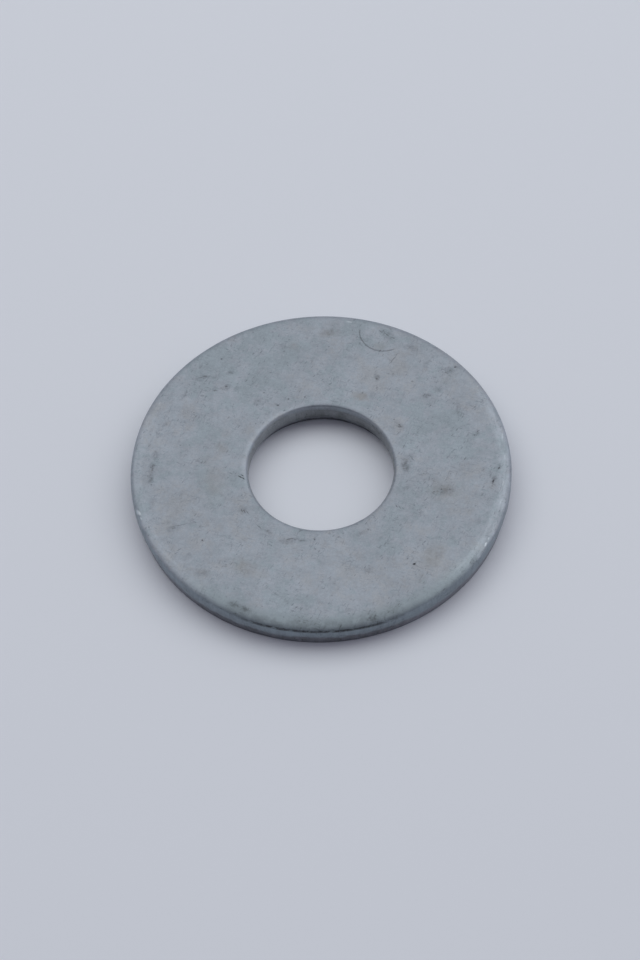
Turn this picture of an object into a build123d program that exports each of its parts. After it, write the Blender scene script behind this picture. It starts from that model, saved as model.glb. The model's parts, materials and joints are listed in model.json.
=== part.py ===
from build123d import *
import os

# A flat washer, blanked and pierced in one stroke from hot-rolled steel sheet and then zinc coated.
# Both cuts start at the upper face, so both edges of that face are rolled over, and both cuts
# break out towards the lower face.
# Frame: millimetres, origin on the bore's axis at the lower bearing face, +Z up along the bore.

# Driving dimensions: an extra-large washer for an M16 bolt, nominally 18 x 48 x 4.
OUTER_DIAMETER = 48.0
BORE_DIAMETER = 18.3
THICKNESS = 3.8

# Rolled-over edges of the upper face: how far in from the rim or bore, and how far down.
RIM_ROLL_WIDTH = 1.6
RIM_ROLL_DEPTH = 0.5
BORE_ROLL_WIDTH = 0.5
BORE_ROLL_DEPTH = 0.6

# Height above the lower face at which each smooth sheared band gives way to the break-out.
RIM_SHEAR_BOTTOM = 1.9
BORE_SHEAR_BOTTOM = 1.6

# How far each break-out leans away from the sheared band by the lower face: the rim inwards, the
# bore outwards.
RIM_BREAKOUT = 0.42
BORE_BREAKOUT = 0.8

OUTER_RADIUS = OUTER_DIAMETER / 2
BORE_RADIUS = BORE_DIAMETER / 2


def section():
    """The washer's cross-section on one side of its axis, in the XZ plane."""
    rim_foot = (OUTER_RADIUS - RIM_BREAKOUT, 0)
    rim_break = (OUTER_RADIUS, RIM_SHEAR_BOTTOM)
    rim_shoulder = (OUTER_RADIUS, THICKNESS - RIM_ROLL_DEPTH)
    bore_shoulder = (BORE_RADIUS, THICKNESS - BORE_ROLL_DEPTH)
    bore_break = (BORE_RADIUS, BORE_SHEAR_BOTTOM)
    bore_foot = (BORE_RADIUS + BORE_BREAKOUT, 0)
    rim_roll_centre = (OUTER_RADIUS - RIM_ROLL_WIDTH, THICKNESS - RIM_ROLL_DEPTH)
    bore_roll_centre = (BORE_RADIUS + BORE_ROLL_WIDTH, THICKNESS - BORE_ROLL_DEPTH)

    with BuildSketch(Plane.XZ) as sketch:
        with BuildLine():
            Polyline(bore_foot, rim_foot, rim_break, rim_shoulder)
            rim_roll = EllipticalCenterArc(
                rim_roll_centre, RIM_ROLL_WIDTH, RIM_ROLL_DEPTH, start_angle=0, arc_size=90
            )
            bore_roll = EllipticalCenterArc(
                bore_roll_centre, BORE_ROLL_WIDTH, BORE_ROLL_DEPTH, start_angle=90, arc_size=90
            )
            Line(rim_roll @ 1, bore_roll @ 0)
            Polyline(bore_shoulder, bore_break, bore_foot)
        make_face()
    return sketch.sketch


def washer():
    """The whole washer: one blanked piece, the same all the way round."""
    return revolve(section(), Axis.Z, 360)


os.makedirs("parts", exist_ok=True)
export_step(washer(), "parts/washer.step")
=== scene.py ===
"""A zinc-coated steel washer lying on a pale table, lit by a wide softbox in a pale room."""

import json
import math

import bpy
import numpy as np
from mathutils import Matrix, Vector, noise


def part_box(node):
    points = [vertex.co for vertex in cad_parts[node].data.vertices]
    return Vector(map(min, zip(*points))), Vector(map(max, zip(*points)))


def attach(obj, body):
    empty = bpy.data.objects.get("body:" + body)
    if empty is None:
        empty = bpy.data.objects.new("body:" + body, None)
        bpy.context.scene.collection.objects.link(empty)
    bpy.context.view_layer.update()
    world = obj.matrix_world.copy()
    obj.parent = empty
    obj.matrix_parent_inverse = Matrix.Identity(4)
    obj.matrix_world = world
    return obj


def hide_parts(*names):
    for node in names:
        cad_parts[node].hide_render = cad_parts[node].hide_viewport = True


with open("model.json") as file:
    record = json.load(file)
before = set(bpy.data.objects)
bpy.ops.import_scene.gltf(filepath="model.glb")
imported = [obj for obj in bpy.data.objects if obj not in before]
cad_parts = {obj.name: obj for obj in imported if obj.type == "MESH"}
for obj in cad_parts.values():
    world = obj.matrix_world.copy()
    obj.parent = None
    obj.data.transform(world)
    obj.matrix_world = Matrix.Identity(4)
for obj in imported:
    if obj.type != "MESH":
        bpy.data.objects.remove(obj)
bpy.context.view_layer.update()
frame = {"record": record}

MM = 0.001

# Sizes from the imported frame, in millimetres.
BORE_MOUNT = next(m for m in frame["record"]["mounts"] if m["name"] == "bore")
RIM_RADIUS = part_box("washer")[1].x / MM
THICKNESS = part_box("washer")[1].z / MM
BORE_RADIUS = BORE_MOUNT["dims"]["r_mm"]

# The blanked edges, as part.py has them, in millimetres.
RIM_ROLL_WIDTH = 1.6
RIM_ROLL_DEPTH = 0.5
BORE_ROLL_WIDTH = 0.5
BORE_ROLL_DEPTH = 0.6
RIM_SHEAR_BOTTOM = 1.9
BORE_SHEAR_BOTTOM = 1.6
RIM_BREAKOUT = 0.42
BORE_BREAKOUT = 0.8

# The rim's roll-over has that width only at one place, and this width on the far side.
RIM_ROLL_WIDEST_AT = 265
RIM_ROLL_WIDTH_LEAST = 0.95

# The mesh: columns round the axis, and rings in each band of the section.
COLUMNS = 720
RINGS = {
    "lower_face": 26, "rim_break": 12, "rim_shear": 7, "rim_roll": 12,
    "upper_face": 52, "bore_roll": 11, "bore_shear": 6, "bore_break": 9,
}

# How far each kind of relief cuts into the nominal shape, in millimetres.
COAT_RELIEF = 0.02
ROLL_RELIEF = 0.1
SCORE_RELIEF = 0.012
TORN_RELIEF = 0.03
TORN_RISE = 0.5
TORN_FADE = 0.3

# Where the bore's upper edge is drawn down further: depth, reach, and directions in degrees.
DRAWN_DEPTH = 0.35
DRAWN_REACH = 1.1
DRAWN_FAR = 80
DRAWN_NEAR = 275
DRAWN_NEAR_GAIN = 1.25
DRAWN_NEAR_SHARE = 0.8

# Dents in the rim: angle round the axis in degrees, height, depth, and reach along and up, in millimetres.
RIM_DENTS = [
    (193.8, 3.35, 0.17, 0.9, 0.5), (201.0, 3.45, 0.07, 0.6, 0.3), (232.0, 3.3, 0.08, 0.9, 0.4),
    (297.0, 3.4, 0.06, 0.8, 0.3), (327.0, 3.4, 0.09, 0.7, 0.35), (15.0, 0.6, 0.12, 0.8, 0.5),
    (95.0, 0.5, 0.1, 1.1, 0.5), (250.0, 0.4, 0.12, 0.9, 0.4),
]


# ---------------------------------------------------------------------------------------------
# Shape: the blanked cross-section, swept round the axis with the relief of a real blanked edge
# ---------------------------------------------------------------------------------------------


def run(start, end, count):
    """Evenly spaced section points from start up to, but not including, end."""
    share = np.arange(count)[:, None] / count
    return np.array(start) * (1 - share) + np.array(end) * share


def quarter(centre, width, depth, from_angle, count):
    """A quarter ellipse of section points, turning anticlockwise from from_angle, in degrees."""
    turn = np.radians(from_angle + 90 * np.arange(count) / count)
    return np.array(centre) + np.stack([width * np.cos(turn), depth * np.sin(turn)], axis=1)


def rim_roll_width(angle):
    """The rim's roll-over is wide on the near side and narrow on the far side."""
    share = max(0.0, math.cos(math.radians(angle - RIM_ROLL_WIDEST_AT))) ** 2
    return RIM_ROLL_WIDTH_LEAST + (RIM_ROLL_WIDTH - RIM_ROLL_WIDTH_LEAST) * share


def section(roll_width):
    """Section points (radius, height) all the way round, and the name of the band each is in."""
    shoulder = THICKNESS - RIM_ROLL_DEPTH
    mouth = THICKNESS - BORE_ROLL_DEPTH
    rim_foot = (RIM_RADIUS - RIM_BREAKOUT, 0)
    rim_corner = (RIM_RADIUS, RIM_SHEAR_BOTTOM)
    rim_inner = (RIM_RADIUS - roll_width, THICKNESS)
    bore_outer = (BORE_RADIUS + BORE_ROLL_WIDTH, THICKNESS)
    bore_corner = (BORE_RADIUS, BORE_SHEAR_BOTTOM)
    bore_foot = (BORE_RADIUS + BORE_BREAKOUT, 0)
    bands = {
        "lower_face": run(bore_foot, rim_foot, RINGS["lower_face"]),
        "rim_break": run(rim_foot, rim_corner, RINGS["rim_break"]),
        "rim_shear": run(rim_corner, (RIM_RADIUS, shoulder), RINGS["rim_shear"]),
        "rim_roll": quarter((rim_inner[0], shoulder), roll_width, RIM_ROLL_DEPTH, 0, RINGS["rim_roll"]),
        "upper_face": run(rim_inner, bore_outer, RINGS["upper_face"]),
        "bore_roll": quarter((bore_outer[0], mouth), BORE_ROLL_WIDTH, BORE_ROLL_DEPTH, 90,
                             RINGS["bore_roll"]),
        "bore_shear": run((BORE_RADIUS, mouth), bore_corner, RINGS["bore_shear"]),
        "bore_break": run(bore_corner, bore_foot, RINGS["bore_break"]),
    }
    points = np.concatenate(list(bands.values()))
    names = [name for name, band in bands.items() for _ in band]
    return points, names


def section_normals(points):
    """Outward unit normals of the closed section, from each point's two neighbours."""
    along = np.roll(points, -1, axis=0) - np.roll(points, 1, axis=0)
    outward = np.stack([along[:, 1], -along[:, 0]], axis=1)
    return outward / np.linalg.norm(outward, axis=1)[:, None]


def grain(place, size):
    """Smooth noise from -1 to 1, with features about size millimetres across."""
    return noise.noise(Vector(place) / size)


def coat_relief(place):
    """The coat is thinner in some places than in others."""
    return COAT_RELIEF * (0.5 + 0.4 * grain(place, 4.0) + 0.2 * grain(place, 1.3))


def roll_relief(place, depth):
    """The rolled-over edge is deeper in some stretches than in others."""
    share = max(0.0, min(1.0, (THICKNESS - place[2]) / depth))
    return ROLL_RELIEF * share * (0.5 + 0.5 * grain(place, 14.0))


def drawn_relief(place, angle):
    """On its far and near sides the bore's upper edge is drawn down further, over a wider strip."""
    x, y, z = place
    far = max(0.0, math.cos(math.radians(angle - DRAWN_FAR))) ** 4
    near = max(0.0, math.cos(math.radians(angle - DRAWN_NEAR)))
    share = far + min(DRAWN_NEAR_SHARE, DRAWN_NEAR_GAIN * near)
    off_edge = math.hypot(math.hypot(x, y) - BORE_RADIUS, THICKNESS - z) / DRAWN_REACH
    return DRAWN_DEPTH * share * max(0.0, 1 - off_edge) ** 2


def score_relief(place):
    """Fine upright scoring from the punch or the die."""
    x, y, z = place
    return SCORE_RELIEF * (1.0 + grain((x, y, z * 0.1), 0.4))


def torn_relief(place, shear_bottom, lean):
    """The break-out starts higher in some places than in others, and is rough."""
    x, y, z = place
    wave = 0.5 + 0.5 * grain((x, y, 0.0), 3.0)
    flutter = 1 + 0.3 * grain((x, y, 9.0), 0.6)
    top = shear_bottom + TORN_RISE * wave * flutter
    if z >= top:
        return 0.0
    nominal = lean * max(0.0, shear_bottom - z) / shear_bottom
    rough = 0.5 + 0.3 * grain((x, y, z * 0.5), 0.8) + 0.25 * grain(place, 0.3)
    return lean * (top - z) / top - nominal + TORN_RELIEF * min(1.0, (top - z) / TORN_FADE) * rough


def dent_relief(angle, height):
    """The dents knocked into the rim's upper and lower corners."""
    total = 0.0
    for dent_angle, dent_height, depth, along, up in RIM_DENTS:
        arc = math.radians((angle - dent_angle + 180) % 360 - 180) * RIM_RADIUS
        total += depth * math.exp(-(arc / along) ** 2 - ((height - dent_height) / up) ** 2)
    return total


def relief(band, place, angle):
    """How far the real surface lies below the nominal one, in millimetres."""
    total = coat_relief(place)
    if band == "rim_roll":
        total += roll_relief(place, RIM_ROLL_DEPTH)
    if band == "bore_roll":
        total += roll_relief(place, BORE_ROLL_DEPTH)
    if band in ("rim_shear", "rim_break"):
        total += score_relief(place) + torn_relief(place, RIM_SHEAR_BOTTOM, RIM_BREAKOUT)
    if band in ("upper_face", "bore_roll", "bore_shear"):
        total += drawn_relief(place, angle)
    if band in ("bore_shear", "bore_break"):
        total += score_relief(place) + torn_relief(place, BORE_SHEAR_BOTTOM, BORE_BREAKOUT)
    if band.startswith("rim"):
        total += dent_relief(angle, place[2])
    return max(0.0, total)


def column_of_places(angle):
    """The section at one angle round the axis, with its relief, as points in millimetres."""
    points, names = section(rim_roll_width(angle))
    c = math.cos(math.radians(angle))
    s = math.sin(math.radians(angle))
    places = []
    for (radius, height), (out, up), band in zip(points, section_normals(points), names):
        depth = relief(band, (radius * c, radius * s, height), angle)
        r = radius - depth * out
        places.append((r * c, r * s, height - depth * up))
    return places


def swept_mesh():
    """A closed mesh of the section swept round the axis, in metres."""
    places = np.array([column_of_places(360 * column / COLUMNS) for column in range(COLUMNS)])
    rings = places.shape[1]
    faces = []
    for column in range(COLUMNS):
        here = column * rings
        there = (column + 1) % COLUMNS * rings
        for ring in range(rings):
            above = (ring + 1) % rings
            faces.append((here + ring, there + ring, there + above, here + above))
    mesh = bpy.data.meshes.new("washer_ring")
    mesh.from_pydata((places.reshape(-1, 3) * MM).tolist(), [], faces)
    mesh.validate()
    mesh.polygons.foreach_set("use_smooth", [True] * len(mesh.polygons))
    mesh.update()
    return mesh


def washer():
    piece = bpy.data.objects.new("washer_ring", swept_mesh())
    bpy.context.scene.collection.objects.link(piece)
    return piece


# ---------------------------------------------------------------------------------------------
# Shader helpers
# ---------------------------------------------------------------------------------------------


def node(tree, kind, inputs=None, **settings):
    """A new shader node. inputs maps a socket's name or number to a value or to another node's output."""
    made = tree.nodes.new("ShaderNode" + kind)
    for name, value in settings.items():
        setattr(made, name, value)
    for name, value in (inputs or {}).items():
        if isinstance(value, bpy.types.NodeSocket):
            tree.links.new(value, made.inputs[name])
        else:
            made.inputs[name].default_value = value
    return made


def maths(tree, operation, first, second=0.0, clamp=False):
    return node(tree, "Math", {0: first, 1: second}, operation=operation, use_clamp=clamp).outputs[0]


def vector_maths(tree, operation, first, second=(0.0, 0.0, 0.0)):
    return node(tree, "VectorMath", {0: first, 1: second}, operation=operation).outputs[0]


def scaled(tree, vector, factor):
    """The vector or colour times a number."""
    return node(tree, "VectorMath", {0: vector, 3: factor}, operation="SCALE").outputs[0]


def length_of(tree, vector):
    return node(tree, "VectorMath", {0: vector}, operation="LENGTH").outputs["Value"]


def ramp(tree, value, start, end, low=0.0, high=1.0):
    """A smooth step from low to high as value goes from start to end, which may run downwards."""
    inputs = {"Value": value, "From Min": start, "From Max": end, "To Min": low, "To Max": high}
    return node(tree, "MapRange", inputs, interpolation_type="SMOOTHSTEP", clamp=False).outputs[0]


def blend(tree, share, first, second):
    """The colour first where share is 0 and second where it is 1."""
    return node(tree, "Mix", {0: share, 6: first, 7: second}, data_type="RGBA").outputs[2]


def clouds(tree, place, scale, detail, roughness):
    """Noise from 0 to 1 round 0.5, scale being features per millimetre."""
    inputs = {"Vector": place, "Scale": scale, "Detail": detail, "Roughness": roughness}
    return node(tree, "TexNoise", inputs).outputs[0]


def centred(tree, value):
    """Noise round 0.5 made noise round 0."""
    return maths(tree, "SUBTRACT", value, 0.5)


def product(tree, *factors):
    total = factors[0]
    for factor in factors[1:]:
        total = maths(tree, "MULTIPLY", total, factor)
    return total


def total_of(tree, *terms):
    total = terms[0]
    for term in terms[1:]:
        total = maths(tree, "ADD", total, term)
    return total


def weighted(tree, masks, weights):
    """The sum of the masks that weights names, each times its weight."""
    return total_of(tree, *[product(tree, masks[name], weight) for name, weight in weights.items()])


def new_material(name):
    material = bpy.data.materials.new(name)
    material.use_nodes = True
    return material, material.node_tree, material.node_tree.nodes["Principled BSDF"]


# ---------------------------------------------------------------------------------------------
# The zinc coat
# ---------------------------------------------------------------------------------------------

# Marks on the upper face: x, y, length and width in millimetres, direction in degrees, strength.
SMUDGES = [
    (-14.2, 14.6, 3.4, 0.8, 5, 0.6), (-13.3, 13.9, 2.6, 0.9, -10, 0.35), (-11.6, 13.0, 1.2, 0.9, 0, 1.0),
    (-12.9, 12.8, 1.6, 0.7, 0, 0.5), (-10.3, 12.7, 1.0, 0.6, 30, 0.6), (-11.0, 15.3, 1.2, 0.5, 20, 0.7),
    (-17.1, 11.9, 1.6, 0.5, 60, 0.8), (-19.6, 7.6, 0.9, 0.5, 80, 0.7), (-20.4, 6.2, 1.6, 0.6, 80, 0.9),
    (-20.7, 2.9, 2.2, 0.6, 85, 0.5), (-21.2, 0.9, 1.9, 0.8, 85, 1.2), (-21.4, -0.6, 1.4, 0.7, 75, 1.1),
    (-21.2, -4.2, 1.6, 0.8, 70, 0.5), (-18.7, -8.2, 1.5, 1.0, 30, 0.9), (-17.6, -3.1, 1.3, 0.7, 40, 0.5),
    (-5.2, 9.9, 0.7, 0.5, 0, 0.7), (-7.6, 10.6, 1.4, 1.0, 45, 0.5), (2.1, 21.0, 2.6, 1.1, 0, 0.55),
    (1.0, 21.5, 1.0, 0.6, 0, 0.3), (9.4, 20.3, 2.2, 1.2, -50, 0.7), (7.7, 13.4, 0.7, 1.0, 0, 1.1),
    (12.3, 17.9, 1.9, 1.0, -30, 0.6), (14.2, 15.0, 1.6, 0.8, 80, 0.5), (17.0, 14.0, 1.4, 0.8, -40, 0.9),
    (17.9, 14.5, 0.7, 0.5, -40, 0.8), (14.0, 10.1, 1.3, 0.7, 10, 0.9), (15.5, 11.0, 1.2, 0.6, 15, 0.7),
    (12.0, 9.6, 0.8, 0.6, 0, 0.6), (17.8, 8.0, 1.7, 0.6, 85, 0.6), (10.2, 5.7, 1.3, 0.8, -50, 0.8),
    (19.9, 4.0, 0.9, 0.6, 60, 0.7), (10.7, -0.3, 2.6, 1.1, 88, 1.2), (11.3, 0.9, 1.1, 0.9, 40, 0.7),
    (22.4, -1.3, 1.0, 0.6, 60, 1.1), (21.6, -3.2, 1.2, 0.6, 60, 1.1), (15.4, -4.4, 2.6, 1.6, -20, 0.8),
    (15.0, -4.9, 1.2, 0.7, 10, 0.7), (10.5, -3.9, 0.8, 0.6, 30, 0.7), (19.3, -9.2, 1.0, 0.6, 60, 0.6),
    (13.9, -14.0, 1.0, 0.9, 30, 0.5), (5.1, -15.7, 1.0, 0.8, 20, 0.9), (4.6, -10.3, 1.4, 0.6, 15, 0.6),
    (-3.7, -10.9, 3.4, 0.7, 4, 0.7), (-4.6, -11.2, 1.2, 0.5, -15, 0.6), (-1.4, -10.9, 1.2, 0.5, 10, 0.6),
    (-6.9, -9.4, 0.9, 0.6, -40, 0.9), (-9.8, -6.0, 1.3, 0.9, -65, 0.7), (-15.2, -15.0, 1.9, 0.9, -10, 0.6),
    (-11.3, -19.7, 1.6, 0.7, -25, 0.9), (-10.0, -20.6, 1.4, 0.6, -25, 0.9), (5.4, -22.7, 1.6, 0.7, 10, 1.0),
    (2.4, -21.5, 1.8, 0.6, 5, 0.5), (14.6, -19.3, 1.1, 0.6, 35, 1.2), (-4.0, 19.1, 1.0, 1.2, 0, 0.4),
    (4.0, 16.9, 1.4, 0.4, 0, 0.5), (18.3, -15.0, 1.3, 0.6, 55, 1.1), (-16.9, -12.5, 1.4, 0.9, 20, 0.4),
]
STROKES = [
    (9.9, 16.1, 2.6, 0.17, 52, 0.8), (10.4, 16.9, 1.0, 0.15, 40, 0.6), (8.6, 20.7, 1.0, 0.16, -50, 0.7),
    (9.3, 20.2, 1.3, 0.16, -45, 0.8), (10.1, 19.6, 1.0, 0.15, -35, 0.7), (9.9, 21.0, 0.9, 0.15, -60, 0.6),
    (-10.2, -0.95, 0.9, 0.24, -42, 1.7), (-9.9, -0.75, 0.7, 0.2, -42, 1.5), (-9.8, -1.2, 0.7, 0.22, -42, 1.6),
    (-10.1, -6.0, 0.9, 0.15, -70, 0.8), (-9.8, -6.2, 0.9, 0.15, -68, 0.9), (-9.4, -6.4, 0.8, 0.14, -64, 0.8),
    (-8.0, -8.6, 1.2, 0.16, -50, 0.8), (-18.0, -11.4, 1.0, 0.16, 30, 0.7), (-18.4, -11.9, 0.8, 0.15, 30, 0.6),
    (-17.9, -7.8, 4.0, 0.16, 10, 0.5), (-17.4, -1.3, 0.6, 0.15, 50, 0.7), (12.9, -5.7, 1.0, 0.16, 50, 0.7),
    (9.2, -6.5, 0.8, 0.15, -60, 0.8), (9.6, -6.7, 0.7, 0.14, -60, 0.7), (10.0, -6.9, 0.6, 0.14, -60, 0.6),
    (10.6, 2.5, 1.0, 0.16, 60, 0.8), (10.9, 3.1, 0.7, 0.14, 65, 0.6), (18.1, 6.9, 0.9, 0.16, 80, 0.6),
    (20.1, 4.3, 0.8, 0.15, 30, 0.7), (16.7, 13.6, 0.9, 0.15, -45, 0.8), (21.3, -8.2, 0.9, 0.16, 70, 0.6),
    (21.2, -10.0, 0.8, 0.16, 65, 0.6), (-13.0, 12.6, 0.9, 0.15, -5, 0.8), (-14.6, 14.8, 1.3, 0.16, 12, 0.7),
    (-9.9, 14.4, 0.5, 0.15, 10, 0.7), (-4.2, -10.6, 1.6, 0.18, 12, 1.0), (-2.6, -11.0, 1.5, 0.16, -6, 0.9),
    (4.8, -15.3, 0.6, 0.14, 60, 0.8), (-3.3, 20.1, 0.5, 0.15, 20, 0.6), (4.4, 19.0, 0.6, 0.14, 5, 0.5),
    (11.6, 0.5, 0.9, 0.15, -55, 0.8), (13.4, 15.6, 0.7, 0.14, 75, 0.7), (-11.7, 3.0, 0.7, 0.15, 60, 0.6),
]
PITS = [
    (10.9, -15.2, 0.5, 0.38, 30, 3.2), (-12.1, 17.5, 0.3, 0.27, 0, 1.8), (-15.1, -10.2, 0.32, 0.28, 0, 2.2),
    (-5.1, 9.8, 0.36, 0.3, 0, 1.6), (-3.7, 10.7, 0.3, 0.25, 0, 1.6), (-4.3, 8.9, 0.5, 0.26, 40, 1.4),
    (-1.6, 10.9, 0.26, 0.24, 0, 1.2), (-8.0, 7.1, 0.26, 0.24, 0, 1.2), (-6.8, 11.9, 0.24, 0.22, 0, 1.0),
    (-17.6, 4.3, 0.26, 0.24, 0, 1.4), (-16.5, 4.3, 0.24, 0.22, 0, 1.2), (-15.8, 9.3, 0.26, 0.22, 0, 1.2),
    (-16.5, 0.0, 0.26, 0.22, 0, 1.2), (-11.6, 13.1, 0.5, 0.34, 0, 1.6), (5.8, 11.1, 0.32, 0.28, 0, 1.6),
    (7.7, 13.2, 0.34, 0.3, 0, 1.5), (12.2, 12.5, 0.4, 0.32, 0, 1.2), (17.8, 14.4, 0.34, 0.28, 0, 1.6),
    (19.6, 3.7, 0.28, 0.24, 0, 1.4), (22.3, -1.5, 0.5, 0.26, 60, 2.0), (21.5, -3.4, 0.6, 0.28, 60, 2.2),
    (14.9, -4.3, 0.3, 0.26, 0, 1.4), (14.0, -4.6, 0.26, 0.24, 0, 1.3), (16.0, -4.4, 0.28, 0.24, 0, 1.3),
    (11.4, -6.5, 0.24, 0.22, 0, 1.2), (19.0, -7.0, 0.26, 0.22, 0, 1.2), (5.5, -9.8, 0.26, 0.22, 0, 1.2),
    (-1.1, -12.3, 0.26, 0.22, 0, 1.3), (-1.2, -10.9, 0.26, 0.24, 0, 1.4), (-10.9, -12.5, 0.24, 0.22, 0, 1.2),
    (-10.2, -11.3, 0.24, 0.22, 0, 1.2), (-6.6, -11.5, 0.26, 0.22, 0, 1.3), (-21.7, -7.9, 0.28, 0.22, 60, 1.4),
    (-21.8, -9.0, 0.26, 0.22, 0, 1.3), (-21.3, -1.5, 0.3, 0.26, 0, 1.5), (1.8, 18.7, 0.26, 0.22, 0, 1.1),
    (0.3, 18.8, 0.24, 0.22, 0, 1.0), (-4.0, 18.3, 0.28, 0.24, 0, 1.2), (7.3, -15.6, 0.26, 0.22, 0, 1.0),
    (10.2, 5.9, 0.32, 0.26, 0, 1.5), (9.6, 6.7, 0.26, 0.24, 0, 1.3), (16.6, 1.3, 0.26, 0.22, 0, 1.1),
    (2.9, -18.4, 0.24, 0.22, 0, 1.0), (-2.2, 15.2, 0.24, 0.22, 0, 1.0), (13.0, 6.2, 0.24, 0.22, 0, 1.0),
]
STAINS = [
    (-13.5, -1.7, 3.4, 6.4, 0, 0.7), (-14.2, 1.6, 1.8, 2.4, 20, 0.6), (-12.4, 3.6, 1.6, 2.6, 10, 0.8),
    (-11.8, 5.8, 1.5, 1.8, 0, 0.7), (-10.2, -14.4, 4.4, 2.4, -20, 1.1), (-8.1, -15.6, 2.0, 1.6, 0, 0.7),
    (-15.2, -15.0, 2.4, 1.4, 0, 0.7), (13.5, -14.2, 2.8, 4.0, -30, 1.4), (11.4, -17.6, 2.2, 1.8, 0, 0.6),
    (15.5, -4.5, 4.4, 3.6, -10, 1.0), (5.5, 10.6, 2.0, 1.4, 0, 1.8), (8.4, 18.4, 1.8, 1.4, 0, 0.7),
    (2.0, 20.8, 2.8, 1.4, 0, 0.9), (-2.7, 19.1, 1.4, 1.6, 0, 0.6), (11.3, 15.0, 1.8, 1.8, 0, 0.5),
    (1.7, -12.9, 1.0, 0.8, 0, 0.6), (16.9, 12.7, 2.2, 2.4, 0, 0.6), (-1.0, 21.8, 3.4, 0.9, 0, 0.5),
]
FLECKS = [
    (-23.0, -5.45, 1.4, 0.45, -60, 1.0), (-22.7, -6.4, 0.7, 0.3, -60, 0.6), (19.9, -12.7, 0.9, 0.28, 62, 1.0),
    (20.3, -11.9, 0.6, 0.2, 62, 0.5), (4.6, 22.5, 1.1, 0.26, -8, 0.35), (23.1, 3.4, 1.3, 0.24, 85, 0.35),
    (23.2, 0.2, 1.0, 0.22, 88, 0.35), (20.5, 11.3, 0.6, 0.2, 60, 0.3), (19.0, -14.4, 0.7, 0.18, 50, 0.35),
    (22.7, -3.8, 1.4, 0.22, 78, 0.35), (22.2, -6.6, 1.2, 0.2, 70, 0.3), (-20.1, 11.0, 0.6, 0.2, 60, 0.25),
]

# How sharply each kind of mark is drawn: the share of its size at full strength, and how far it fades out.
SMUDGE_EDGE = (0.0, 1.6)
STROKE_EDGE = (0.3, 1.0)
PIT_EDGE = (0.35, 1.0)
STAIN_EDGE = (0.0, 1.5)
FLECK_EDGE = (0.3, 1.0)

# How far noise shakes the marks' outlines, in millimetres: the soft marks, and the sharp ones.
LOOSE_SHAKE = 1.1
TIGHT_SHAKE = 0.25

# The pressed fold near the far edge: centre, radius, half its width, the direction of its middle, half its
# span, and how much of that its ends fade over. Lengths in millimetres, angles in degrees.
FOLD_CENTRE = (9.0, 20.7)
FOLD_RADIUS = 3.15
FOLD_HALF_WIDTH = 0.14
FOLD_MIDDLE = 232
FOLD_HALF_SPAN = 66
FOLD_FADE = 12

# Stretches of the ring: middle, half the full-strength span, and half the whole span, in degrees.
# The rim's right and left stretches: rubbed bright, with a painted highlight.
RIGHT_RIM_RUB_AND_HIGHLIGHT = (-8, 20, 48)
LEFT_RIM_RUB_AND_HIGHLIGHT = (188, 18, 45)
# Painted shade on the near side of the rim's roll-over.
SHADED_NEAR_RIM = (267, 12, 40)
TINTED_RIM = (275, 35, 60)
# A painted shade line on the near rim's wall, just below the roll-over.
SHADE_LINE_RIM = (267, 14, 29)
# Painted shade on the torn band of the near side's wall.
SHADED_FRONT_WALL = (258, 20, 45)
# The bore's left stretch: rubbed bright, with a painted highlight.
BORE_LEFT_RUB_AND_HIGHLIGHT = (145, 25, 60)
# Painted shade on the bore's far wall, deepest at its foot.
SHADED_BORE_FAR = (72, 26, 76)
BORE_SHADED = (66, 15, 55)

# Radii in millimetres between which a strip of the rim fades in, is full, and fades out.
# The strip of the rim rubbed bright, with a painted highlight.
BURNISH_AND_HIGHLIGHT_STRIP = (21.9, 23.0, 23.8, 24.1)
# The strip of painted shade on the near rim.
SHADED_NEAR_STRIP = (21.6, 23.3, 24.0, 24.5)
TINTED_STRIP = (21.4, 23.4, 24.0, 24.5)

# The height of the painted shade line on the near rim's wall, in millimetres.
SHADE_LINE_HEIGHT = 3.1

CLEAN_ZINC = (0.305, 0.337, 0.394, 1)
TEAL_ZINC = (0.278, 0.322, 0.372, 1)
WARM_ZINC = (0.312, 0.333, 0.376, 1)
BROWN_STAIN = (0.262, 0.272, 0.293, 1)
EDGE_ZINC = (0.282, 0.335, 0.380, 1)
BORE_ZINC = (0.292, 0.314, 0.336, 1)
TORN_STEEL = (0.288, 0.298, 0.334, 1)
BARE_FLECK = (0.62, 0.68, 0.74, 1)

METALLIC = 0.4
ROUGHNESS = 0.52
ROUGHNESS_LEAST = 0.25
TONE_LEAST = 0.06
STAIN_STRENGTH = 0.85

# What each mask does to the colour's brightness, to the roughness, and to the height in millimetres.
# The brightening of the rubbed edges is partly wear and partly a painted highlight.
BRIGHTER = {"mottle": 0.95, "broad": 0.3, "fine": 0.1, "burnish_and_highlight": 0.22}
# The darkening of the near rim, of the line below the near roll-over, of the near wall's torn band and of the
# bore's far wall is painted shade.
DARKER = {
    "smudges": 0.42, "strokes": 0.5, "pits": 0.24, "fold": 0.36, "crowded_dashes": 0.2, "pinholes": 0.34,
    "scuffs": 0.16, "near_rim_shade": 0.36, "shade_line": 0.7, "front_wall_shade": 0.28, "bore_foot": 1.0, "bore_shade": 0.22,
    "score_lines": 0.16,
}
ROUGHER = {
    "mottle": 0.25, "smudges": 0.05, "burnish_and_highlight": -0.1, "walls": -0.06, "torn": 0.2, "flecks": -0.12,
}
RAISED = {
    "lumps": 0.03, "fine": 0.008, "pits": -0.02, "strokes": -0.01, "fold": -0.02, "dashes": -0.006,
    "pinholes": -0.012, "scored": 0.03, "torn_lumps": 0.14,
}


def turned_about(tree, place, centre, degrees):
    """The place turned about an upright axis through centre."""
    inputs = {"Vector": place, "Center": centre, "Angle": math.radians(degrees)}
    return node(tree, "VectorRotate", inputs, rotation_type="Z_AXIS").outputs[0]


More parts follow.
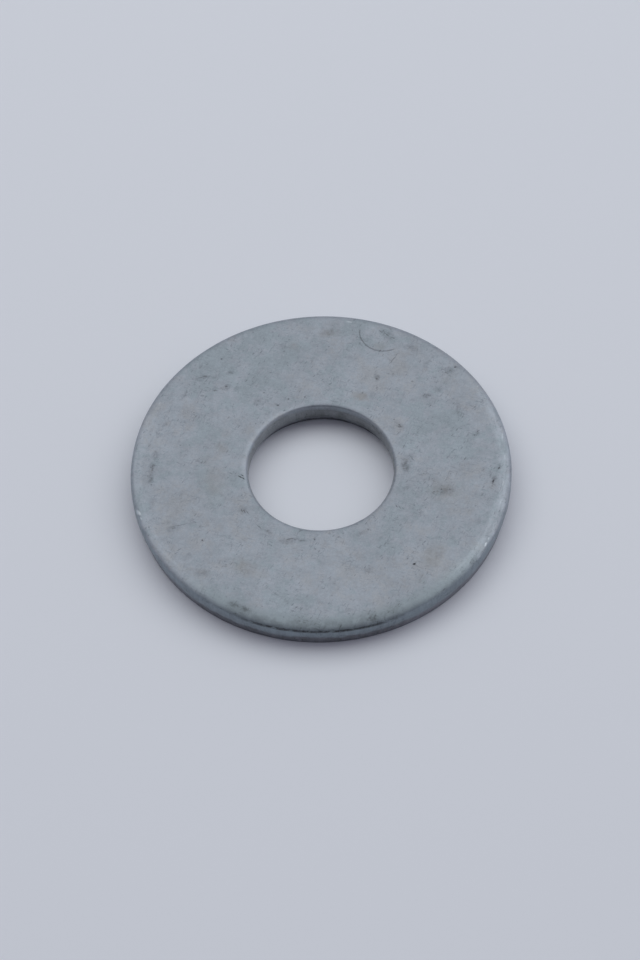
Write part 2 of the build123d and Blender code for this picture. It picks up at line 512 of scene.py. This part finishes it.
def spots(tree, place, marks, core, spread):
    """The strongest of a list of elliptical marks: full strength within core, 0 at the edge.

    spread widens every mark, for marks that fade out gently.
    """
    strongest = None
    for x, y, length, width, turn, strength in marks:
        turned = turned_about(tree, place, (x, y, 0), -turn)
        scale = (2 / (length * spread), 2 / (width * spread), 1)
        inputs = {0: turned, 1: scale, 2: (-x * scale[0], -y * scale[1], 0)}
        local = node(tree, "VectorMath", inputs, operation="MULTIPLY_ADD").outputs[0]
        spot = ramp(tree, length_of(tree, local), 1.0, core, 0.0, strength)
        strongest = spot if strongest is None else maths(tree, "MAXIMUM", strongest, spot)
    return strongest


def specks(tree, place, scale, turn, stretch, share, size):
    """Small dark specks or dashes, one in each of a share of random cells."""
    turned = turned_about(tree, place, (0, 0, 0), -turn)
    cells = vector_maths(tree, "MULTIPLY", turned, (scale, scale * stretch, scale))
    voronoi = node(tree, "TexVoronoi", {"Vector": cells, "Scale": 1.0})
    chance = node(tree, "SeparateColor", {0: voronoi.outputs["Color"]})
    chosen = ramp(tree, chance.outputs[0], 1 - share, 1 - share + 0.02)
    own_size = ramp(tree, chance.outputs[1], 0, 1, size / 2, size)
    own_strength = ramp(tree, chance.outputs[2], 0, 1, 0.4, 1.0)
    reach = maths(tree, "DIVIDE", voronoi.outputs["Distance"], own_size)
    return product(tree, chosen, ramp(tree, reach, 1.0, 0.55), own_strength)


def scratches(tree, place, turn):
    """Short fine scratches, all roughly in one direction."""
    turned = turned_about(tree, place, (0, 0, 0), turn)
    drawn_out = vector_maths(tree, "MULTIPLY", turned, (1.1, 4.4, 1.1))
    return ramp(tree, clouds(tree, drawn_out, 1.0, 2.0, 0.6), 0.57, 0.72)


def sector(tree, direction, middle, full, edge):
    """1 within full degrees of the middle direction, 0 beyond edge degrees."""
    axis = (math.cos(math.radians(middle)), math.sin(math.radians(middle)), 0)
    facing = node(tree, "VectorMath", {0: direction, 1: axis}, operation="DOT_PRODUCT").outputs["Value"]
    return ramp(tree, facing, math.cos(math.radians(edge)), math.cos(math.radians(full)))


def strip(tree, radius, inner, inner_full, outer_full, outer):
    """1 from inner_full to outer_full, fading to 0 at inner and outer."""
    return product(tree, ramp(tree, radius, inner, inner_full), ramp(tree, radius, outer, outer_full))


def fold_line(tree, place):
    """The thin arc of the pressed fold."""
    local = vector_maths(tree, "SUBTRACT", place, (*FOLD_CENTRE, 0))
    off_line = maths(tree, "ABSOLUTE", maths(tree, "SUBTRACT", length_of(tree, local), FOLD_RADIUS))
    direction = vector_maths(tree, "NORMALIZE", local)
    span = sector(tree, direction, FOLD_MIDDLE, FOLD_HALF_SPAN - FOLD_FADE, FOLD_HALF_SPAN)
    return product(tree, ramp(tree, off_line, FOLD_HALF_WIDTH, 0.03), span)


class Surface:
    """Where on the washer the shaded point is, in millimetres, and on which part of it."""

    def __init__(self, tree):
        coordinates = tree.nodes.new("ShaderNodeTexCoord")
        self.tree = tree
        self.place = scaled(tree, coordinates.outputs["Object"], 1 / MM)
        self.flat = vector_maths(tree, "MULTIPLY", self.place, (1, 1, 0))
        self.height = node(tree, "SeparateXYZ", {0: self.place}).outputs[2]
        self.radius = length_of(tree, self.flat)
        self.direction = vector_maths(tree, "NORMALIZE", self.flat)
        tilt = node(tree, "SeparateXYZ", {0: coordinates.outputs["Normal"]}).outputs[2]
        self.above = ramp(tree, self.height, 2.9, 3.2)
        self.outside = ramp(tree, self.radius, 15, 16)
        self.walls = ramp(tree, maths(tree, "ABSOLUTE", tilt), 0.6, 0.25)

    def moved(self, x, y):
        """The place moved sideways, where the noise is unlike the noise here."""
        return vector_maths(self.tree, "ADD", self.place, (x, y, 0))

    def shaken(self, shake, reach):
        """The place on the face, shaken so that marks there waver."""
        return vector_maths(self.tree, "ADD", self.flat,
                            vector_maths(self.tree, "MULTIPLY", shake, (reach, reach, 0)))

    def sector(self, stretch):
        return sector(self.tree, self.direction, *stretch)

    def strip(self, radii):
        return strip(self.tree, self.radius, *radii)


def coat_clouds(at):
    """The coat's own unevenness, from broad patches down to fine grain."""
    tree = at.tree
    return {
        "mottle": centred(tree, clouds(tree, at.place, 0.3, 5.5, 1.0)),
        "broad": centred(tree, clouds(tree, at.moved(20, 50), 0.09, 3.0, 0.8)),
        "fine": centred(tree, clouds(tree, at.place, 3.2, 3.0, 0.6)),
        "lumps": clouds(tree, at.place, 0.8, 4.0, 0.6),
    }


def upper_marks(at):
    """The marks placed one by one on the upper face."""
    tree = at.tree
    jitter = node(tree, "TexNoise", {"Vector": at.place, "Scale": 1.6, "Detail": 3.0})
    shake = vector_maths(tree, "SUBTRACT", jitter.outputs["Color"], (0.5, 0.5, 0.5))
    loose = at.shaken(shake, LOOSE_SHAKE)
    tight = at.shaken(shake, TIGHT_SHAKE)
    patchy = ramp(tree, clouds(tree, at.place, 2.8, 3.0, 0.7), 0.36, 0.62, 0.35, 1.0)
    uneven = ramp(tree, clouds(tree, at.place, 0.9, 4.0, 0.6), 0.3, 0.65, 0.3, 1.0)
    return {
        "smudges": product(tree, spots(tree, loose, SMUDGES, *SMUDGE_EDGE), at.above, patchy),
        "strokes": product(tree, spots(tree, tight, STROKES, *STROKE_EDGE), at.above),
        "pits": product(tree, spots(tree, tight, PITS, *PIT_EDGE), at.above),
        "flecks": product(tree, spots(tree, tight, FLECKS, *FLECK_EDGE), at.above),
        "fold": product(tree, fold_line(tree, tight), at.above),
        "stains": product(tree, spots(tree, loose, STAINS, *STAIN_EDGE), at.above, uneven),
    }


def fine_marks(at):
    """Pinholes, dashes and scuffs all over, crowded in some places and sparse in others."""
    tree = at.tree
    crowded = ramp(tree, clouds(tree, at.moved(0, 90), 0.3, 3.0, 0.6), 0.4, 0.62, 0.3, 1.5)
    dashes = maths(tree, "MAXIMUM", specks(tree, at.place, 1.0, 50, 3.2, 0.45, 0.33),
                   specks(tree, at.place, 0.9, -35, 3.5, 0.35, 0.33))
    scuffs = maths(tree, "MAXIMUM", scratches(tree, at.place, 20), scratches(tree, at.place, -65))
    return {
        "pinholes": specks(tree, at.place, 1.15, 0, 1.0, 0.45, 0.17),
        "dashes": dashes,
        "crowded_dashes": product(tree, dashes, crowded),
        "scuffs": product(tree, scuffs, crowded),
    }


def cut_walls(at):
    """The scored and torn bands of both cuts, with painted shade on the near wall's torn band and on the
    bore's far wall, darker towards its foot.
    """
    tree = at.tree
    scored = clouds(tree, vector_maths(tree, "MULTIPLY", at.place, (1, 1, 0.12)), 1.8, 4.0, 0.65)
    torn_top = ramp(tree, at.outside, 0, 1, BORE_SHEAR_BOTTOM + 0.2, RIM_SHEAR_BOTTOM)
    wave = ramp(tree, clouds(tree, at.flat, 0.5, 3.0, 0.6), 0.3, 0.7, -0.25, 0.25)
    below_top = maths(tree, "SUBTRACT", maths(tree, "ADD", torn_top, wave), at.height)
    torn = product(tree, at.walls, ramp(tree, below_top, -0.1, 0.7))
    bore_wall = product(tree, at.walls, maths(tree, "SUBTRACT", 1.0, at.outside))
    # Painted shade, darker towards the foot of the wall.
    foot_shade = total_of(tree, ramp(tree, at.height, 3.0, 0.4, 0.0, 0.6),
                    ramp(tree, at.height, 0.9, 0.3, 0.0, 0.35))
    return {
        "walls": at.walls,
        "scored": product(tree, at.walls, scored),
        "score_lines": product(tree, at.walls, ramp(tree, scored, 0.3, 0.7)),
        "torn": torn,
        "torn_lumps": product(tree, torn, clouds(tree, at.place, 2.2, 4.0, 0.7)),
        # Painted shade on the torn band of the near side's wall.
        "front_wall_shade": product(tree, torn, at.sector(SHADED_FRONT_WALL)),
        "bore_wall": bore_wall,
        # Painted shade on the bore's far wall, deepest at its foot.
        "bore_foot": product(tree, bore_wall, at.sector(SHADED_BORE_FAR), foot_shade),
        "bore_shade": product(tree, bore_wall, at.sector(BORE_SHADED)),
    }


def rubbed_and_lit_edges(at):
    """Where the rolled-over edges are rubbed bright, with a painted highlight there too: the rim's left and
    right, and the bore's left.
    """
    tree = at.tree
    outward = node(tree, "CombineXYZ", {0: maths(tree, "MULTIPLY", at.radius, 2.4)}).outputs[0]
    round_about = vector_maths(tree, "MULTIPLY", at.direction, (9, 9, 0))
    rubbed = clouds(tree, vector_maths(tree, "ADD", outward, round_about), 1.0, 4.0, 0.6)
    rim_edge = product(tree, at.above, at.strip(BURNISH_AND_HIGHLIGHT_STRIP))
    bore_edge = product(tree, ramp(tree, at.height, 2.6, 3.1), ramp(tree, at.radius, 10.3, 9.6))
    stretches = total_of(
        tree,
        product(tree, rim_edge, at.sector(RIGHT_RIM_RUB_AND_HIGHLIGHT), ramp(tree, rubbed, 0.35, 0.62, 0.2, 0.9)),
        product(tree, rim_edge, at.sector(LEFT_RIM_RUB_AND_HIGHLIGHT), ramp(tree, rubbed, 0.35, 0.65, 0.1, 0.5)),
        product(tree, bore_edge, at.sector(BORE_LEFT_RUB_AND_HIGHLIGHT), 0.4),
        product(tree, bore_edge, 0.1))
    return product(tree, stretches, at.above)


def rolled_edges(at):
    """The rim's roll-over: rubbed bright at the sides with a painted highlight, and painted shade on the near
    side with a painted shade line below it there.
    """
    tree = at.tree
    shade_breakup = ramp(tree, clouds(tree, at.place, 1.2, 4.0, 0.65), 0.38, 0.6, 0.25, 1.0)
    broken = ramp(tree, clouds(tree, at.place, 1.5, 3.0, 0.6), 0.35, 0.55, 0.35, 1.0)
    off_shade_line = maths(tree, "ABSOLUTE", maths(tree, "SUBTRACT", at.height, SHADE_LINE_HEIGHT))
    return {
        "burnish_and_highlight": rubbed_and_lit_edges(at),
        # Painted shade on the near side of the roll-over, broken up by noise.
        "near_rim_shade": product(tree, at.strip(SHADED_NEAR_STRIP), at.sector(SHADED_NEAR_RIM),
                         ramp(tree, at.height, 3.1, 3.3), shade_breakup),
        "front_tint": product(tree, at.strip(TINTED_STRIP), at.sector(TINTED_RIM), at.above, 0.9),
        # A painted shade line on the near wall, just below the roll-over, broken up by noise.
        "shade_line": product(tree, at.sector(SHADE_LINE_RIM), at.outside, broken,
                          ramp(tree, off_shade_line, 0.34, 0.08)),
    }


def coat_colour(at, masks):
    """Blue-grey zinc in three shades, with stains, other colours on the walls, and the marks' tones."""
    tree = at.tree
    tint = clouds(tree, at.moved(70, 30), 0.12, 7.0, 0.85)
    stained = maths(tree, "MULTIPLY", masks["stains"], STAIN_STRENGTH, clamp=True)
    colour = blend(tree, ramp(tree, tint, 0.42, 0.5), TEAL_ZINC, CLEAN_ZINC)
    colour = blend(tree, ramp(tree, tint, 0.5, 0.6), colour, WARM_ZINC)
    colour = blend(tree, stained, colour, BROWN_STAIN)
    colour = blend(tree, maths(tree, "MAXIMUM", masks["walls"], masks["front_tint"]), colour, EDGE_ZINC)
    colour = blend(tree, masks["bore_wall"], colour, BORE_ZINC)
    colour = blend(tree, masks["torn"], colour, TORN_STEEL)
    # The masks' tones: marks and wear, with painted shade on the near rim and the walls and a painted
    # highlight on the rubbed edges.
    change = maths(tree, "SUBTRACT", weighted(tree, masks, BRIGHTER), weighted(tree, masks, DARKER))
    tone = maths(tree, "MAXIMUM", maths(tree, "ADD", 1.0, change), TONE_LEAST)
    return blend(tree, maths(tree, "MINIMUM", masks["flecks"], 1.0), scaled(tree, colour, tone), BARE_FLECK)


def zinc_coat():
    """Dull zinc: blue-grey with brown stains, dark rubs and pits, rubbed-bright edges with a painted
    highlight, darker torn bands, and painted shade on the near rim and the walls.
    """
    material, tree, shader = new_material("zinc_coat")
    at = Surface(tree)
    masks = {**coat_clouds(at), **upper_marks(at), **fine_marks(at), **cut_walls(at), **rolled_edges(at)}
    roughness = maths(tree, "ADD", ROUGHNESS, weighted(tree, masks, ROUGHER))
    bump = node(tree, "Bump", {"Height": weighted(tree, masks, RAISED), "Distance": MM, "Strength": 1.0})
    tree.links.new(coat_colour(at, masks), shader.inputs["Base Color"])
    tree.links.new(maths(tree, "MAXIMUM", roughness, ROUGHNESS_LEAST), shader.inputs["Roughness"])
    tree.links.new(bump.outputs[0], shader.inputs["Normal"])
    shader.inputs["Metallic"].default_value = METALLIC
    return material


# ---------------------------------------------------------------------------------------------
# Set
# ---------------------------------------------------------------------------------------------

FLOOR_RADIUS = 0.7
FLOOR_CORNERS = 72
PAPER_COLOUR = (0.76, 0.785, 0.865, 1)
PAPER_ROUGHNESS = 0.9
PAPER_SPECULAR = 0.2

LIGHT_HEIGHT = 0.9
LIGHT_CENTRE = (0.32, 0.52)
LIGHT_SIZE = (2.9, 1.08)
LIGHT_POWER = 11.2
LIGHT_COLOUR = (0.975, 1.01, 0.94)

ROOM_GLOW = 0.338
ROOM_GLOW_FRONT = 0.03
ROOM_GLOW_RIGHT = 0.165
ROOM_COLOUR = (1.0, 0.99, 1.108, 1)
BACKDROP_COLOUR = (0.53, 0.555, 0.62, 1)

# The camera, and how far right and up in the view the washer's centre is from the middle, in metres.
CAMERA_DISTANCE = 0.4138
CAMERA_ELEVATION = math.radians(55.8)
CAMERA_ROLL = math.radians(2.75)
CAMERA_LENS = 122.5
CAMERA_SENSOR = 36.0
CENTRE_RIGHT = 0.0002
CENTRE_UP = -0.00045


def table_paper():
    """Plain matt paper."""
    material, _, shader = new_material("table_paper")
    shader.inputs["Base Color"].default_value = PAPER_COLOUR
    shader.inputs["Roughness"].default_value = PAPER_ROUGHNESS
    shader.inputs["Specular IOR Level"].default_value = PAPER_SPECULAR
    return material


def floor():
    """A round table top, which ends before the softbox's light falls off."""
    mesh = bpy.data.meshes.new("floor")
    turns = [2 * math.pi * corner / FLOOR_CORNERS for corner in range(FLOOR_CORNERS)]
    corners = [(FLOOR_RADIUS * math.cos(turn), FLOOR_RADIUS * math.sin(turn), 0) for turn in turns]
    mesh.from_pydata(corners, [], [tuple(range(FLOOR_CORNERS))])
    piece = bpy.data.objects.new("floor", mesh)
    bpy.context.scene.collection.objects.link(piece)
    mesh.materials.append(table_paper())


def softbox():
    light = bpy.data.lights.new("softbox", "AREA")
    light.shape = "RECTANGLE"
    light.size, light.size_y = LIGHT_SIZE
    light.energy = LIGHT_POWER
    light.color = LIGHT_COLOUR
    lamp = bpy.data.objects.new("softbox", light)
    lamp.location = (*LIGHT_CENTRE, LIGHT_HEIGHT)
    bpy.context.scene.collection.objects.link(lamp)


def room():
    """Light from all round, less from the front, where the viewer stands, and more from the right.

    Past the table's edge, the view is of a plain backdrop as pale as the table.
    """
    world = bpy.data.worlds.new("room")
    world.use_nodes = True
    tree = world.node_tree
    coordinates = tree.nodes.new("ShaderNodeTexCoord")
    axes = node(tree, "SeparateXYZ", {0: coordinates.outputs["Generated"]})
    front = maths(tree, "MINIMUM", axes.outputs[1], 0.0)
    right = maths(tree, "MAXIMUM", axes.outputs[0], 0.0)
    shade = product(tree, front, front, ROOM_GLOW_FRONT - ROOM_GLOW)
    extra = product(tree, right, right, ROOM_GLOW_RIGHT)
    strength = total_of(tree, ROOM_GLOW, shade, extra)
    glow = node(tree, "Background", {"Color": ROOM_COLOUR, "Strength": strength})
    backdrop = tree.nodes["Background"]
    backdrop.inputs["Color"].default_value = BACKDROP_COLOUR
    backdrop.inputs["Strength"].default_value = 1.0
    seen = node(tree, "LightPath").outputs["Is Camera Ray"]
    shown = node(tree, "MixShader", {0: seen, 1: glow.outputs[0], 2: backdrop.outputs[0]})
    tree.links.new(shown.outputs[0], tree.nodes["World Output"].inputs["Surface"])
    bpy.context.scene.world = world


def camera():
    """Looks along +Y and down, rolled a little, with the washer's centre just off the middle."""
    forward = Vector((0, math.cos(CAMERA_ELEVATION), -math.sin(CAMERA_ELEVATION)))
    level_up = Vector((0, math.sin(CAMERA_ELEVATION), math.cos(CAMERA_ELEVATION)))
    level_right = Vector((1, 0, 0))
    c = math.cos(CAMERA_ROLL)
    s = math.sin(CAMERA_ROLL)
    right = c * level_right - s * level_up
    up = s * level_right + c * level_up
    lens = bpy.data.cameras.new("camera")
    lens.sensor_width = CAMERA_SENSOR
    lens.lens = CAMERA_LENS
    eye = bpy.data.objects.new("camera", lens)
    place = -CENTRE_RIGHT * right - CENTRE_UP * up - CAMERA_DISTANCE * forward
    eye.matrix_world = Matrix.Translation(place) @ Matrix((right, up, -forward)).transposed().to_4x4()
    bpy.context.scene.collection.objects.link(eye)
    bpy.context.scene.camera = eye


# ---------------------------------------------------------------------------------------------
# Build
# ---------------------------------------------------------------------------------------------

bpy.context.scene.view_settings.view_transform = "Standard"
floor()
softbox()
room()
camera()

ring = washer()
ring.data.materials.append(zinc_coat())
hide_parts("washer")
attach(ring, "root")
